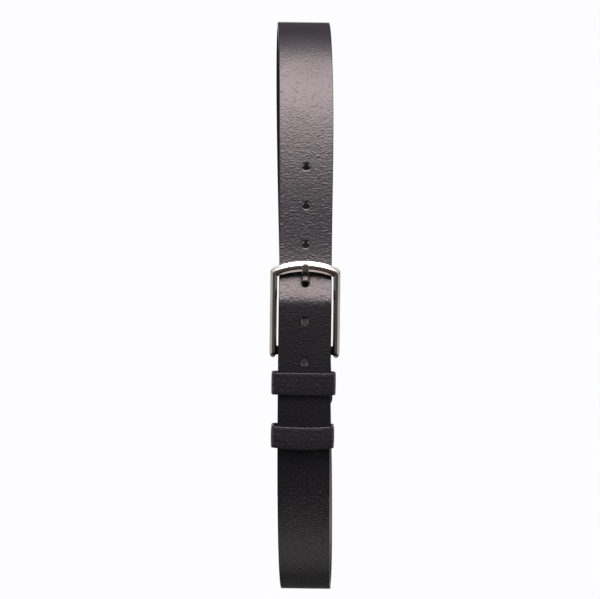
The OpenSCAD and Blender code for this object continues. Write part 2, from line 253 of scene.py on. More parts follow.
def rounded_section(width: float, height: float, corner: float, per_corner: int = 4) -> Array:
    """Outline of a rectangle with round corners, about its middle, anticlockwise.

    Each corner is a quarter circle of the given radius about a point that lies that far in from both sides.

    Args:
        width: size along the first axis.
        height: size along the second axis.
        corner: radius of the corners.
        per_corner: number of steps in each quarter circle.

    Returns:
        The outline's points, one row each.
    """
    turns = np.arange(4)[:, None] * math.pi / 2 + np.linspace(0.0, math.pi / 2, per_corner + 1)[None, :]
    side_x = np.array([1, -1, -1, 1])[:, None] * (width / 2 - corner)
    side_y = np.array([1, 1, -1, -1])[:, None] * (height / 2 - corner)
    return (np.stack([side_x, side_y], axis=-1) + circle_points(turns, corner)).reshape(-1, 2)


def lathe(profile: Array, steps: int) -> Array:
    """Rings of points that turn a profile about the local Z axis.

    Each point of the profile, a radius and a height, becomes a circle of that radius at that height.

    Args:
        profile: rows of radius and height.
        steps: number of points round each circle.

    Returns:
        The rings, in the order of the profile.
    """
    turn = np.linspace(0.0, 2 * math.pi, steps, endpoint=False)
    radius, height = profile[:, :1], profile[:, 1:]
    rings = [radius * np.cos(turn), radius * np.sin(turn), np.broadcast_to(height, (len(profile), steps))]
    return np.stack(rings, axis=-1)


# --- materials


def linear(hex_colour: str) -> tuple[float, float, float, float]:
    """An sRGB hex colour, "#rrggbb", as linear red, green, blue and an alpha of one.

    Args:
        hex_colour: the colour.

    Returns:
        The linear colour.
    """
    parts = [int(hex_colour[i : i + 2], 16) / 255 for i in (1, 3, 5)]
    low = [p / 12.92 if p <= 0.04045 else ((p + 0.055) / 1.055) ** 2.4 for p in parts]
    return low[0], low[1], low[2], 1.0


def node(
    tree: bpy.types.NodeTree, kind: str, inputs: dict[str | int, Any] | None = None, **settings: Any
) -> bpy.types.Node:
    """Adds one node with its settings and its inputs.

    Args:
        tree: the node tree.
        kind: the node's type name after "ShaderNode".
        inputs: for each input, a number, a colour, an output socket, or a node whose first output it takes.
        settings: properties of the node.

    Returns:
        The new node.
    """
    made = tree.nodes.new("ShaderNode" + kind)
    for key, value in settings.items():
        setattr(made, key, value)
    for key, value in (inputs or {}).items():
        if isinstance(value, bpy.types.Node):
            value = value.outputs[0]
        if isinstance(value, bpy.types.NodeSocket):
            tree.links.new(value, made.inputs[key])
        else:
            made.inputs[key].default_value = value
    return made


def ramp(tree: bpy.types.NodeTree, factor: bpy.types.Node, *stops: tuple[float, str]) -> bpy.types.Node:
    """A colour ramp between two places with sRGB hex colours, driven by a node's first output.

    Args:
        tree: the node tree.
        factor: the node that drives it.
        stops: the two places and colours.

    Returns:
        The new node.
    """
    made = node(tree, "ValToRGB", {"Fac": factor})
    for element, (place, colour) in zip(made.color_ramp.elements, stops):
        element.position = place
        element.color = linear(colour)
    return made


@dataclass(frozen=True)
class Finish:
    """What all finishes share: a name, and a Principled shader fed by the finish's own patterns."""

    name: str

    def patterns(self, tree: bpy.types.NodeTree) -> dict[str | int, Any]:
        """Adds the finish's patterns and returns what the shader's inputs take."""
        raise NotImplementedError

    def make(self) -> Material:
        """Builds the material and returns it.

        Returns:
            The new material.
        """
        material = bpy.data.materials.new(self.name)
        material.use_nodes = True
        tree = material.node_tree
        tree.nodes.clear()
        shader = node(tree, "BsdfPrincipled", self.patterns(tree))
        node(tree, "OutputMaterial", {"Surface": shader})
        return material


class Backing(Enum):
    """What a leather's surface is: its grain side, or a smooth lining with a little nap."""

    GRAIN = "grain"
    LINING = "lining"


@dataclass(frozen=True)
class LeatherFinish(Finish):
    """Chrome-tanned cowhide, drum dyed and finished with a thin acrylic top coat.

    Broken wrinkles run across the strap, with small pebbles between them and fine pores on top.
    The eye sees soft, crinkled highlights where the strap turns to the light, and near black elsewhere.
    """

    deep: str
    body: str
    backing: Backing = Backing.GRAIN
    roughness: float = 0.4
    wrinkle_mm: float = 1.4
    pebble_mm: float = 1.1
    pore_mm: float = 0.35
    sway_mm: float = 3.0
    sway_by: float = 1.6
    stretch: float = 1 / 0.55
    pebble_share: float = 0.55
    pore_share: float = 0.18
    wear_mm: float = 28.0
    relief_mm: float = 0.3
    relief: float = 0.8

    def patterns(self, tree: bpy.types.NodeTree) -> dict[str | int, Any]:
        """Adds the leather's relief and tone, with the relief faded by the piece's own "grain".

        Args:
            tree: the material's node tree.

        Returns:
            What the shader's inputs take.
        """
        place = node(tree, "UVMap", uv_map="surface")
        sway = node(tree, "TexNoise", {"Vector": place, "Scale": 1 / (self.sway_mm * MM), "Detail": 2.0})
        reach = self.sway_by * MM
        swayed = {0: sway.outputs["Color"], 1: (reach, reach, 0.0), 2: place}
        bent = node(tree, "VectorMath", swayed, operation="MULTIPLY_ADD")
        across = node(tree, "Mapping", {"Vector": bent, "Scale": (1.0, 1 / self.stretch, 1.0)})
        ridges = {"Scale": 1 / (self.wrinkle_mm * MM) / 2, "Detail": 3.0, "Roughness": 0.6, "Lacunarity": 2.1}
        wrinkles = node(tree, "TexNoise", {"Vector": across, **ridges}, noise_type="RIDGED_MULTIFRACTAL")
        cells = {"Vector": across, "Scale": 1 / (self.pebble_mm * MM), "Smoothness": 0.8}
        pebbles = node(tree, "TexVoronoi", cells, feature="SMOOTH_F1")
        pores = node(tree, "TexNoise", {"Vector": place, "Scale": 1 / (self.pore_mm * MM), "Detail": 2.0})
        swell = node(tree, "Math", {0: pebbles, 1: -self.pebble_share, 2: wrinkles}, operation="MULTIPLY_ADD")
        relief = node(tree, "Math", {0: pores, 1: self.pore_share, 2: swell}, operation="MULTIPLY_ADD")
        grain = node(tree, "Attribute", attribute_name="grain").outputs["Fac"]
        strength = node(tree, "Math", {0: grain, 1: self.relief}, operation="MULTIPLY")
        bump = node(tree, "Bump", {"Height": relief, "Distance": self.relief_mm * MM, "Strength": strength})
        wear = node(tree, "TexNoise", {"Vector": place, "Scale": 1 / (self.wear_mm * MM), "Detail": 3.0})
        worn = {"To Min": self.roughness - 0.03, "To Max": self.roughness + 0.04}
        inputs = {
            "Base Color": ramp(tree, relief, (0.15, self.deep), (0.85, self.body)),
            "Roughness": node(tree, "MapRange", {"Value": wear, "From Min": 0.3, "From Max": 0.7, **worn}),
            "IOR": 1.5,
            "Normal": bump,
        }
        nap = {"Sheen Weight": 0.05, "Sheen Roughness": 0.5}
        return {**inputs, **nap} if self.backing is Backing.LINING else inputs


@dataclass(frozen=True)
class EdgePaint(Finish):
    """Acrylic edge paint, rolled on in two coats. The eye sees a dark satin rim with a faint ripple."""

    name: str = "edge_paint"
    ripple_mm: float = 1.2

    def patterns(self, tree: bpy.types.NodeTree) -> dict[str | int, Any]:
        """Adds the ripple that the roller leaves.

        Args:
            tree: the material's node tree.

        Returns:
            What the shader's inputs take.
        """
        place = node(tree, "UVMap", uv_map="surface")
        ripple = node(tree, "TexNoise", {"Vector": place, "Scale": 1 / (self.ripple_mm * MM), "Detail": 2.0})
        return {
            "Base Color": ramp(tree, ripple, (0.3, "#0e0d0f"), (0.8, "#121113")),
            "Roughness": 0.26,
            "IOR": 1.49,
            "Normal": node(tree, "Bump", {"Height": ripple, "Distance": 0.04 * MM, "Strength": 0.4}),
        }


@dataclass(frozen=True)
class BoardFinish(Finish):
    """Bonded leather board, shavings pressed with latex. The eye sees a matt, finely speckled brown."""

    name: str = "bonded_board"
    fibre_mm: float = 0.4

    def patterns(self, tree: bpy.types.NodeTree) -> dict[str | int, Any]:
        """Adds the fibres.

        Args:
            tree: the material's node tree.

        Returns:
            What the shader's inputs take.
        """
        place = node(tree, "UVMap", uv_map="surface")
        fibres = node(tree, "TexNoise", {"Vector": place, "Scale": 1 / (self.fibre_mm * MM), "Detail": 4.0})
        return {
            "Base Color": ramp(tree, fibres, (0.3, "#2a211c"), (0.7, "#4a3b31")),
            "Roughness": 0.85,
            "Normal": node(tree, "Bump", {"Height": fibres, "Distance": 0.05 * MM, "Strength": 0.6}),
        }


@dataclass(frozen=True)
class MetalFinish(Finish):
    """A metal with its plating. The eye sees a tone that drifts a little and faint polishing marks."""

    colour: str
    shade: str
    roughness: float
    drift_mm: float = 14.0
    marks_mm: float = 0.25

    def patterns(self, tree: bpy.types.NodeTree) -> dict[str | int, Any]:
        """Adds the drift of the plating's tone and the marks of the polishing wheel.

        Args:
            tree: the material's node tree.

        Returns:
            What the shader's inputs take.
        """
        place = node(tree, "TexCoord").outputs["Object"]
        drift = node(tree, "TexNoise", {"Vector": place, "Scale": 1 / (self.drift_mm * MM), "Detail": 2.0})
        marks = node(tree, "TexNoise", {"Vector": place, "Scale": 1 / (self.marks_mm * MM), "Detail": 3.0})
        spread = {"To Min": self.roughness * 0.8, "To Max": self.roughness * 1.3}
        return {
            "Base Color": ramp(tree, drift, (0.3, self.shade), (0.7, self.colour)),
            "Metallic": 1.0,
            "Roughness": node(tree, "MapRange", {"Value": marks, **spread}),
            "Normal": node(tree, "Bump", {"Height": marks, "Distance": 0.01 * MM, "Strength": 0.05}),
        }


@dataclass(frozen=True)
class FloorFinish(Finish):
    """Matt wall paint. The eye sees a pale, even floor, hardly mottled."""

    name: str = "painted_floor"
    mottle_mm: float = 60.0

    def patterns(self, tree: bpy.types.NodeTree) -> dict[str | int, Any]:
        """Adds the mottle that the roller leaves.

        Args:
            tree: the material's node tree.

        Returns:
            What the shader's inputs take.
        """
        place = node(tree, "TexCoord").outputs["Object"]
        mottle = node(tree, "TexNoise", {"Vector": place, "Scale": 1 / (self.mottle_mm * MM), "Detail": 3.0})
        return {"Base Color": ramp(tree, mottle, (0.3, "#d8d8d6"), (0.7, "#dededc")), "Roughness": 0.75}


# --- the strap's route


@dataclass(frozen=True)
class Loop:
    """The hanging loop: an ellipse by angle, 0 at the buckle, 90 at the top and 180 at the far side.

    Sizes are in millimetres, and points are relative to the loop's middle.
    """

    strap_t: float = 3.6
    height: float = 403.0
    depth: float = 196.0
    lean: float = 2.0

    @property
    def half_h(self) -> float:
        """Half the height of the strap's middle line."""
        return (self.height - self.strap_t) / 2

    @property
    def half_d(self) -> float:
        """Half the depth of the strap's middle line."""
        return (self.depth - self.strap_t) / 2

    @property
    def middle(self) -> Array:
        """The loop's middle in the frame, whose origin is on the inside of the top bend."""
        return np.array([0.0, 0.0, -(self.half_h - self.strap_t / 2)])

    def angle_at(self, z: Array | float) -> Array:
        """Angle in degrees on the near run at a height: arcsine of height over half height."""
        return np.degrees(np.arcsin(np.asarray(z, float) / self.half_h))

    def point(self, angle: Array) -> Array:
        """Points on the ellipse: (lean, -half depth x cosine, half height x sine)."""
        a = np.radians(np.asarray(angle, float))
        lean = -self.half_h * np.sin(a) * math.tan(math.radians(self.lean)) * (1 - np.cos(a)) / 2
        return np.stack([lean, -self.half_d * np.cos(a), self.half_h * np.sin(a)], axis=-1)

    def normal(self, angle: Array) -> Array:
        """Outward normals of the ellipse: (0, -half height x cosine, half depth x sine), at length one."""
        a = np.radians(np.asarray(angle, float))
        return unit(np.stack([0 * a, -self.half_h * np.cos(a), self.half_d * np.sin(a)], axis=-1))

    def off(self, angle: Array, out: Array | float) -> Array:
        """Points at an angle, moved out from the ellipse along its normal."""
        return self.point(angle) + np.asarray(out, float)[..., None] * self.normal(angle)

    def near(self, z: Array | float, out: Array | float) -> Array:
        """Points on the near run at a height, moved out from the ellipse."""
        return self.off(self.angle_at(z), out)

    def tilt(self, z: float) -> float:
        """Angle in degrees by which the near run's face looks up at a height."""
        n = self.normal(self.angle_at(z))
        return math.degrees(math.atan2(n[2], -n[1]))


@dataclass(frozen=True)
class Opening:
    """A hole through the strap: a round one, or a slot with round ends along the strap."""

    s: float
    x: float
    radius: float
    run: float = 0.0
    sink_radius: float = 0.0
    sink: float = 0.0


@dataclass
class Route:
    """The strap's middle line from its turned-back end to its tip, with its width and thickness."""

    loop: Loop
    width: float = 35.0
    back_extra: float = 1.7
    skive: float = 0.66
    gap: float = 0.3
    bar_z: float = -30.0
    bar_d: float = 3.5
    fold_clear: float = 0.15
    fixed_z: float = -51.0
    keeper_w: float = 14.6
    keeper_t: float = 1.8
    turn_over: float = 10.5
    turn_skew: float = 1.6
    turn_corner: float = 7.0
    settle_after: float = 0.5
    settle_before: float = 6.0
    turned_most: float = 60.0
    skive_run: float = 20.0
    tip_z: float = -155.0
    tip_taper: float = 33.0
    tip_w: float = 23.0
    tip_corner: float = 4.0
    hump_rise: float = 0.6
    upper_in: float = 9.0
    hump_fall: float = 9.8
    settle_z: float = -34.0
    step: float = 0.5

    def __post_init__(self) -> None:
        """Samples the five runs of the route and keeps them as arrays against length along the strap."""
        t = self.loop.strap_t
        self.skived = t * self.skive
        self.fold_r = self.bar_d / 2 + self.fold_clear + self.skived - t / 2
        self.bar_centre = self.loop.near(self.bar_z, -self.fold_r)
        self.turn_end = self.fixed_z - self.keeper_w / 2 - self.turn_over
        self.fixed_back = self.skived - t / 2 + self.gap
        self.lap_out = t + self.gap
        runs = [self._turned(), self._fold(), self._lap(), self._back(), self._tip()]
        points, half, share = (np.concatenate(part) for part in zip(*runs))
        keep = np.append(True, np.linalg.norm(np.diff(points, axis=0), axis=1) > 1e-6)
        self.points, half, self.share = points[keep], half[keep], share[keep]
        self.s = run_length(self.points)
        self.length = float(self.s[-1])
        self.half = np.minimum(half, self._blunt_half(self.length - self.s, half))
        tangent = unit(np.gradient(self.points, self.s, axis=0))
        self.across = unit(np.array([1.0, 0.0, 0.0]) - tangent[:, :1] * tangent)
        self.out = np.cross(tangent, self.across)

    def _spans(self, start: float, stop: float, rate: float) -> Array:
        """Even stations from start to just before stop, about one sampling step apart."""
        count = max(4, int(abs(stop - start) * rate / self.step))
        return np.linspace(start, stop, count, endpoint=False)

    def _turned(self) -> tuple[Array, Array, Array]:
        """The turned-back end, which passes behind the fixed keeper and comes up to the strap.

        Returns:
            The points, half the width and the share of the full thickness at each.
        """
        z = self._spans(self.turn_end, self.bar_z, 1.0)
        t = self.loop.strap_t
        turn_in = 2 * self.fold_r
        keeper_in = self.fixed_back + self.keeper_t + self.gap + self.skived - t / 2
        end_in = 2 * self.skived - t + self.gap / 2
        keeper_end = self.fixed_z - self.keeper_w / 2
        past = ease_between(-z, -self.bar_z, -(self.fixed_z + self.keeper_w / 2))
        settled = ease_between(-z, -(keeper_end - self.settle_after), -(self.turn_end + self.settle_before))
        depth = turn_in + (keeper_in - turn_in) * past + (end_in - keeper_in) * settled
        points = self.loop.near(z, -depth)
        points[:, 0] += self.turn_skew * ease_between(-z, -self.bar_z, -self.turn_end)
        reach = np.clip(self.turn_corner - (z - self.turn_end), 0, None)
        half = self.width / 2 - self.turn_corner + np.sqrt(self.turn_corner**2 - reach**2)
        return points, half, np.full(len(z), self.skive)

    def _fold(self) -> tuple[Array, Array, Array]:
        """The fold: half a circle over the bar.

        Returns:
            The points, half the width and the share of the full thickness at each.
        """
        tilt = math.radians(self.loop.tilt(self.bar_z))
        turn = tilt + np.radians(self._spans(90.0, -90.0, 0.1))
        circle = np.stack([0 * turn, np.sin(turn), np.cos(turn)], axis=-1)
        points = self.bar_centre + self.fold_r * circle
        return points, np.full(len(turn), self.width / 2), np.full(len(turn), self.skive)

    def _lap(self) -> tuple[Array, Array, Array]:
        """The under run from the bar down to the tip's height, which thickens past the turned-back end.

        Returns:
            The points, half the width and the share of the full thickness at each.
        """
        angle = self._spans(float(self.loop.angle_at(self.bar_z)), float(self.loop.angle_at(self.tip_z)), 3.4)
        z = self.loop.half_h * np.sin(np.radians(angle))
        full = self.turn_end - self.skive_run
        share = self.skive + (1 - self.skive) * ease_between(-z, -self.turn_end, -full)
        return self.loop.point(angle), np.full(len(z), self.width / 2), share

    def _body_half(self, angle: Array) -> Array:
        """Half the width by angle: wider over the back, and narrowing to both ends."""
        wide = ease_between(-angle, 90, 150) - ease_between(-angle, 315, 352)
        return (self.width + self.back_extra * wide) / 2

    def _back(self) -> tuple[Array, Array, Array]:
        """The ellipse itself, from below the tip round the bottom and up the far side to the top."""
        angle = self._spans(float(self.loop.angle_at(self.tip_z)), -270.0, 2.6)
        return self.loop.point(angle), self._body_half(angle), np.ones(len(angle))

    def lap_over(self, angle: Array) -> Array:
        """How far the tip's run lies out from the ellipse.

        Over the buckle it lies on the under run with a small hump behind the bar's top. Above the
        hump it falls back as (1 + x) e^-x to a flatter bend that lies inside the ellipse.

        Args:
            angle: angle on the loop in degrees.

        Returns:
            Distance out, in millimetres.
        """
        a = np.radians(angle)
        z = self.loop.half_h * np.sin(a)
        hump = self.lap_out + self.hump_rise
        x = np.maximum(z, 0) / self.hump_fall
        left = (1 + x) * np.exp(-x)
        above = hump * left - self.upper_in * np.cos(a) * (1 - left)
        below = self.lap_out + self.hump_rise * ease_between(z, self.settle_z, 0.0)
        return np.where(z > 0, above, below)

    def _tip(self) -> tuple[Array, Array, Array]:
        """The tip's run: over the top, down behind the arch bar, over the bar and through the keepers.

        Returns:
            The points, half the width and the share of the full thickness at each.
        """
        end = float(self.loop.angle_at(self.tip_z)) - 360
        angle = np.append(self._spans(-270.0, end, 3.0), end)
        return self.loop.off(angle, self.lap_over(angle)), self._body_half(angle), np.ones(len(angle))

    def _blunt_half(self, end: Array, full: Array) -> Array:
        """Half the width by distance from the tip's end: a round corner, a straight taper, then full.

        Args:
            end: distance from the tip's end.
            full: half the width without the taper.

        Returns:
            Half the width.
        """
        corner_half = self.tip_w / 2 + (full - self.tip_w / 2) * self.tip_corner / self.tip_taper
        reach = np.clip(self.tip_corner - end, 0, None)
        corner = corner_half - self.tip_corner + np.sqrt(np.maximum(self.tip_corner**2 - reach**2, 0))
        taper = self.tip_w / 2 + (full - self.tip_w / 2) * end / self.tip_taper
        return np.where(end < self.tip_corner, corner, np.where(end < self.tip_taper, taper, full))

    def at(self, s: Array, values: Array) -> Array:
        """One of the route's arrays, read at lengths along the strap.

        Args:
            s: lengths along the strap.
            values: one of the arrays that are kept against length.

        Returns:
            The values there.
        """
        s = np.asarray(s, float)
        if values.ndim == 1:
            return np.interp(s, self.s, values)
        return np.stack([np.interp(s, self.s, values[:, k]) for k in range(3)], axis=-1)

    def place(self, s: Array, x: Array, depth: Array) -> Array:
        """Points of the strap: middle line + across x side + out x (half thickness - depth x share).

        Args:
            s: length along the strap.
            x: distance to the side of the middle line.
            depth: depth below the face, at full thickness.

        Returns:
            The points in the frame, in millimetres.
        """
        lift = self.loop.strap_t / 2 - depth * self.at(s, self.share)
        flat = self.at(s, self.points) + self.at(s, self.across) * x[..., None]
        return flat + self.at(s, self.out) * lift[..., None] + self.loop.middle

    def length_at(self, z: float, near_tip: bool) -> float:
        """Length along the strap where it passes a height on the near side.

        Args:
            z: height relative to the loop's middle.
            near_tip: whether it is the tip's run, and not the under run.

        Returns:
            The length, in millimetres.
        """
        under = (self.s > self.turned_most) & (self.s < self.length / 2)
        here = self.s > self.length / 2 if near_tip else under
        return self._nearest(z, here & (self.points[:, 1] < 0))

    def turned_length(self, z: float) -> float:
        """Length along the strap where the turned-back end passes a height."""
        return self._nearest(z, self.s < self.turned_most)

    def fold_length(self) -> float:
        """Length along the strap at the fold's highest point."""
        tilt = math.radians(self.loop.tilt(self.bar_z))
        top = self.bar_centre + self.fold_r * np.array([0.0, math.sin(tilt), math.cos(tilt)])
        return float(self.s[np.argmin(np.linalg.norm(self.points - top, axis=1))])

    def _nearest(self, z: float, here: Array) -> float:
        """Length along the strap at the sample nearest to a height, among those that count."""
        return float(self.s[np.argmin(np.where(here, np.abs(self.points[:, 2] - z), np.inf))])


# --- the strap


@dataclass
class Layer:
    """One layer of the strap as a closed shell, with its holes."""

    route: Route
    top: float
    bottom: float
    top_round: float
    bottom_round: float
    row_step: float
    col_step: float
    openings: Sequence[Opening]
    paint_rim: float = 0.0
    rim: float = 0.7
    rim_depth: float = 0.21
    rim_steps: int = 5
    patch_margin: float = 2.2
    patch_rings: int = 4

    def stations(self) -> tuple[Array, Array]:
        """Rows along the strap and columns across it, the columns as shares of half the width.

        Returns:
            The rows and the columns.
        """
        rows = fine_ends(self.route.length, self.row_step, [0.0, 0.04, 0.12, 0.25, 0.42, 0.62, 1.0])
        edges = [0.0, 0.04, 0.12, 0.25, 0.42, 0.62, 0.95, 1.6]
        return rows, fine_ends(self.route.width, self.col_step, edges) / self.route.width * 2 - 1

    def inside(self, s: Array, x: Array) -> Array:
        """Distance in from the nearest edge of the strap: a side or an end."""
        side = self.route.at(s, self.route.half) - np.abs(x)
        return np.minimum(np.minimum(side, s), self.route.length - s)

    def depth_at(self, s: Array, x: Array, upper: bool) -> Array:
        """Depth of the layer's upper or lower surface, which rounds over at the strap's edges.

        Args:
            s: length along the strap.
            x: distance to the side.
            upper: whether it is the surface on the face's side.

        Returns:
            Depth below the face.
        """
        radius = self.top_round if upper else self.bottom_round
        level = self.top if upper else self.bottom
        if radius <= 0:
            return np.full(np.broadcast(s, x).shape, level)
        drop = round_over(self.inside(s, x), radius)
        return level + drop if upper else level - drop

    def shell(self) -> Shell:
        """Builds the layer: two surfaces, the sides between them, and a tube through each opening.

        Returns:
            The shell, with slot 0 on the leather and slot 1 on painted edges.
        """
        rows, cols = self.stations()
        s, v = np.meshgrid(rows, cols, indexing="ij")
        x = v * self.route.at(s, self.route.half)
        quads, row, col = grid_quads(*s.shape, False, False)
        keep = np.ones(len(quads), bool)
        spans = [self._span(rows, cols, hole) for hole in self.openings]
        for i0, i1, j0, j1 in spans:
            keep &= ~((row[:, 0] >= i0) & (row[:, 0] < i1) & (col[:, 0] >= j0) & (col[:, 0] < j1))
        row, col, quads = row[keep], col[keep], quads[keep]
        flat = np.stack([s[row, col], x[row, col]], axis=-1)
        painted = (self.inside(s, x)[row, col].mean(axis=1) < self.paint_rim).astype(int)
        shell = Shell()
        shell.add(self.route.place(s, x, self.depth_at(s, x, True)), quads, flat, painted)
        lower = self.route.place(s, x, self.depth_at(s, x, False))
        shell.add(lower, (quads + s.size)[:, ::-1], flat[:, ::-1], painted)
        self._sides(shell, s, x)
        for hole, span in zip(self.openings, spans):
            self._line(shell, hole, span, s, x)
        return shell

    def _span(self, rows: Array, cols: Array, hole: Opening) -> tuple[int, int, int, int]:
        """Rows and columns that bound the patch round an opening.

        Args:
            rows: lengths along the strap.
            cols: shares of half the width.
            hole: the opening.

        Returns:
            First and last row, first and last column.
        """
        reach = max(hole.radius, hole.sink_radius) + self.patch_margin
        x = cols * float(self.route.at(np.array(hole.s), self.route.half))
        i0 = int(np.searchsorted(rows, hole.s - hole.run - reach))
        i1 = int(np.searchsorted(rows, hole.s + hole.run + reach)) - 1
        j0 = int(np.searchsorted(x, hole.x - reach))
        j1 = int(np.searchsorted(x, hole.x + reach)) - 1
        return i0, i1, j0, j1

    def _sides(self, shell: Shell, s: Array, x: Array) -> None:
        """Joins the two surfaces along the outline with painted faces.

        Args:
            shell: the shell that takes the faces.
            s: lengths along the strap of the layer's points.
            x: distances to the side of the layer's points.
        """
        n, m = s.shape
        across = np.arange(1, m - 1)
        i = np.concatenate([np.arange(n), np.full(m - 2, n - 1), np.arange(n)[::-1], np.zeros(m - 2, int)])
        j = np.concatenate([np.zeros(n, int), across, np.full(n, m - 1), across[::-1]])
        numbers = np.stack([i * m + j, i * m + j + n * m])
        depths = [self.depth_at(s, x, upper)[i, j] for upper in (True, False)]
        places = np.stack([np.stack([s[i, j], depth], axis=-1) for depth in depths])
        shell.add_bands(np.zeros((0, 3)), numbers, places, 1, False)

    def _line(
        self, shell: Shell, hole: Opening, span: tuple[int, int, int, int], s: Array, x: Array
    ) -> None:
        """Fills the patch round an opening and lines it.

        Every point of the patch's square edge has a partner on the opening's outline, in the direction
        from the nearest point of the opening's own middle line. Rings between them blend from square
        to round, turn over the rim, go down the wall and blend back to the square underneath.

        Args:
            shell: the shell that takes the faces.
            hole: the opening.
            span: rows and columns that bound the patch.
            s: lengths along the strap of the layer's points.
            x: distances to the side of the layer's points.
        """
        i0, i1, j0, j1 = span
        up, right = np.arange(i0, i1), np.arange(j0, j1)
        i = np.concatenate([up, np.full(j1 - j0, i1), np.arange(i1, i0, -1), np.full(j1 - j0, i0)])
        j = np.concatenate([np.full(i1 - i0, j0), right, np.full(i1 - i0, j1), np.arange(j1, j0, -1)])
        edge = np.stack([s[i, j], x[i, j]], axis=-1)
        middle = np.clip(edge[:, 0], hole.s - hole.run, hole.s + hole.run)
        spine = np.stack([middle, np.full(len(i), hole.x)], axis=-1)
        ray = unit(edge - spine)

        def ring(share: float, radius: float) -> Array:
            """A ring that lies a share of the way from the opening's outline to the patch's edge."""
            return edge * share + (spine + ray * radius) * (1 - share)

        mouth, wall = self._wall(hole)
        shares = np.linspace(1, 0, self.patch_rings + 1)
        rings = [ring(f, mouth) for f in shares[1:]]
        depths = [self.depth_at(p[:, 0], p[:, 1], True) for p in rings]
        flat = len(rings)
        rings += [ring(0.0, radius) for radius, _ in wall]
        depths += [np.full(len(i), depth) for _, depth in wall]
        back = [ring(f, hole.radius) for f in shares[-2:0:-1]]
        rings += back
        depths += [self.depth_at(p[:, 0], p[:, 1], False) for p in back]
        points = np.concatenate([self.route.place(p[:, 0], p[:, 1], d) for p, d in zip(rings, depths)])
        new = shell.count + np.arange(len(points)).reshape(len(rings), len(i))
        outline = (i * s.shape[1] + j)[None]
        numbers = np.concatenate([outline, new, outline + s.size])
        places = np.stack([edge, *rings, edge])
        places[flat + 1 : flat + 1 + len(wall), :, 1] += np.array([depth for _, depth in wall])[:, None]
        in_wall = np.zeros(len(numbers) - 1, int)
        in_wall[flat : flat + len(wall)] = 1
        shell.add_bands(points, numbers, places, np.repeat(in_wall, len(i)), True)

    def _wall(self, hole: Opening) -> tuple[float, list[tuple[float, float]]]:
        """The radius of an opening's mouth, and the radii and depths down its wall.

        The punch leaves a dished lip: a shallow slope that steepens into the wall as share^1.3. A sunk
        opening has a flat step for a rivet's head instead.

        Args:
            hole: the opening.

        Returns:
            The mouth's radius, and rows of radius and depth.
        """
        foot = (hole.radius, self.bottom)
        if hole.sink_radius:
            floor = self.top + hole.sink
            return hole.sink_radius, [(hole.sink_radius, floor), (hole.radius, floor), foot]
        turn = np.linspace(0, 1, self.rim_steps + 1)[1:]
        lip = [(hole.radius + self.rim * (1 - t), self.top + self.rim_depth * t**1.3) for t in turn]
        return hole.radius + self.rim, [*lip, foot]


@dataclass
class Strap:
    """The belt's strap: face leather, stiffener and lining, glued, punched and edge painted."""

    route: Route
    face_t: float = 1.4
    core_t: float = 0.8
    bond: float = 0.02
    bevel: float = 0.5
    hole_d: float = 5.2
    hole_pitch: float = 26.7
    used_z: float = 15.0
    used_stretch: float = 2.4
    to_tip: int = 2
    to_loop: int = 3
    slot_w: float = 5.3
    slot_down: float = 8.0
    rivet_x: float = 9.0
    rivet_up: float = 3.6
    rivet_d: float = 2.3
    rivet_head_d: float = 4.7
    rivet_sink: float = 0.7
    paint_reach: float = 0.65
    least_grain: float = 0.18
    grain_from: float = 4.0
    grain_full: float = 60.0

    def openings(self, face: bool) -> list[Opening]:
        """The rivets' holes, the prong's slot in the fold and the punched holes.

        Args:
            face: whether the layer is the face leather, whose rivet holes are sunk for the heads.

        Returns:
            The openings, in order along the strap.
        """
        route = self.route
        rivet_z = route.turn_end + self.rivet_up
        sunk = (0.0, self.rivet_head_d / 2, self.rivet_sink) if face else ()
        low, high = (
            [Opening(s, side * self.rivet_x, self.rivet_d / 2, *how) for side in (-1, 1)]
            for s, how in ((route.turned_length(rivet_z), ()), (route.length_at(rivet_z, False), sunk))
        )
        half_fold = math.pi / 2 * route.fold_r
        slot = Opening(route.fold_length(), 0.0, self.slot_w / 2, half_fold + self.slot_down)
        used_s = route.length_at(self.used_z, True)
        holes = [
            Opening(used_s + k * self.hole_pitch, 0.0, self.hole_d / 2, 0.0 if k else self.used_stretch / 2)
            for k in range(-self.to_loop, self.to_tip + 1)
        ]
        return [*low, slot, *high, *holes]

    def make(self, face: Material, board: Material, lining: Material, paint: Material) -> None:
        """Builds the three layers and sets them in the frame.

        Args:
            face: finish of the face leather.
            board: finish of the stiffener.
            lining: finish of the lining.
            paint: finish of the cut edges.
        """
        tops = [0.0, self.face_t + self.bond, self.face_t + self.core_t]
        bottoms = [self.face_t, self.face_t + self.core_t - self.bond, self.route.loop.strap_t]
        names = [
            ("face_leather_strip", "strap_face", "face_leather"),
            ("stiffener_strip", "strap_core", "core_board"),
            ("lining_leather_strip", "strap_lining", "lining_leather"),
        ]
        rounds = [(self.bevel, 0.0), (0.0, 0.0), (0.0, self.bevel)]
        steps = [(1.0, 1.2), (2.0, 2.4), (1.4, 1.6)]
        for k, (finish, (name, cad, slot)) in enumerate(zip((face, board, lining), names)):
            openings = self.openings(face=k == 0)
            layer = Layer(self.route, tops[k], bottoms[k], *rounds[k], *steps[k], openings, self.paint_reach)
            piece = layer.shell().build(name, [finish, paint])
            co = np.zeros(len(piece.data.vertices) * 3, np.float32)
            piece.data.vertices.foreach_get("co", co)
            # Bending the leather outwards pulls the wrinkles flat at the top of the loop.
            grown = ease_between(-co[2::3] / MM, self.grain_from, self.grain_full)
            show_grain(piece, self.least_grain + (1 - self.least_grain) * grown)
            settle(piece, "strap", slot, cad)


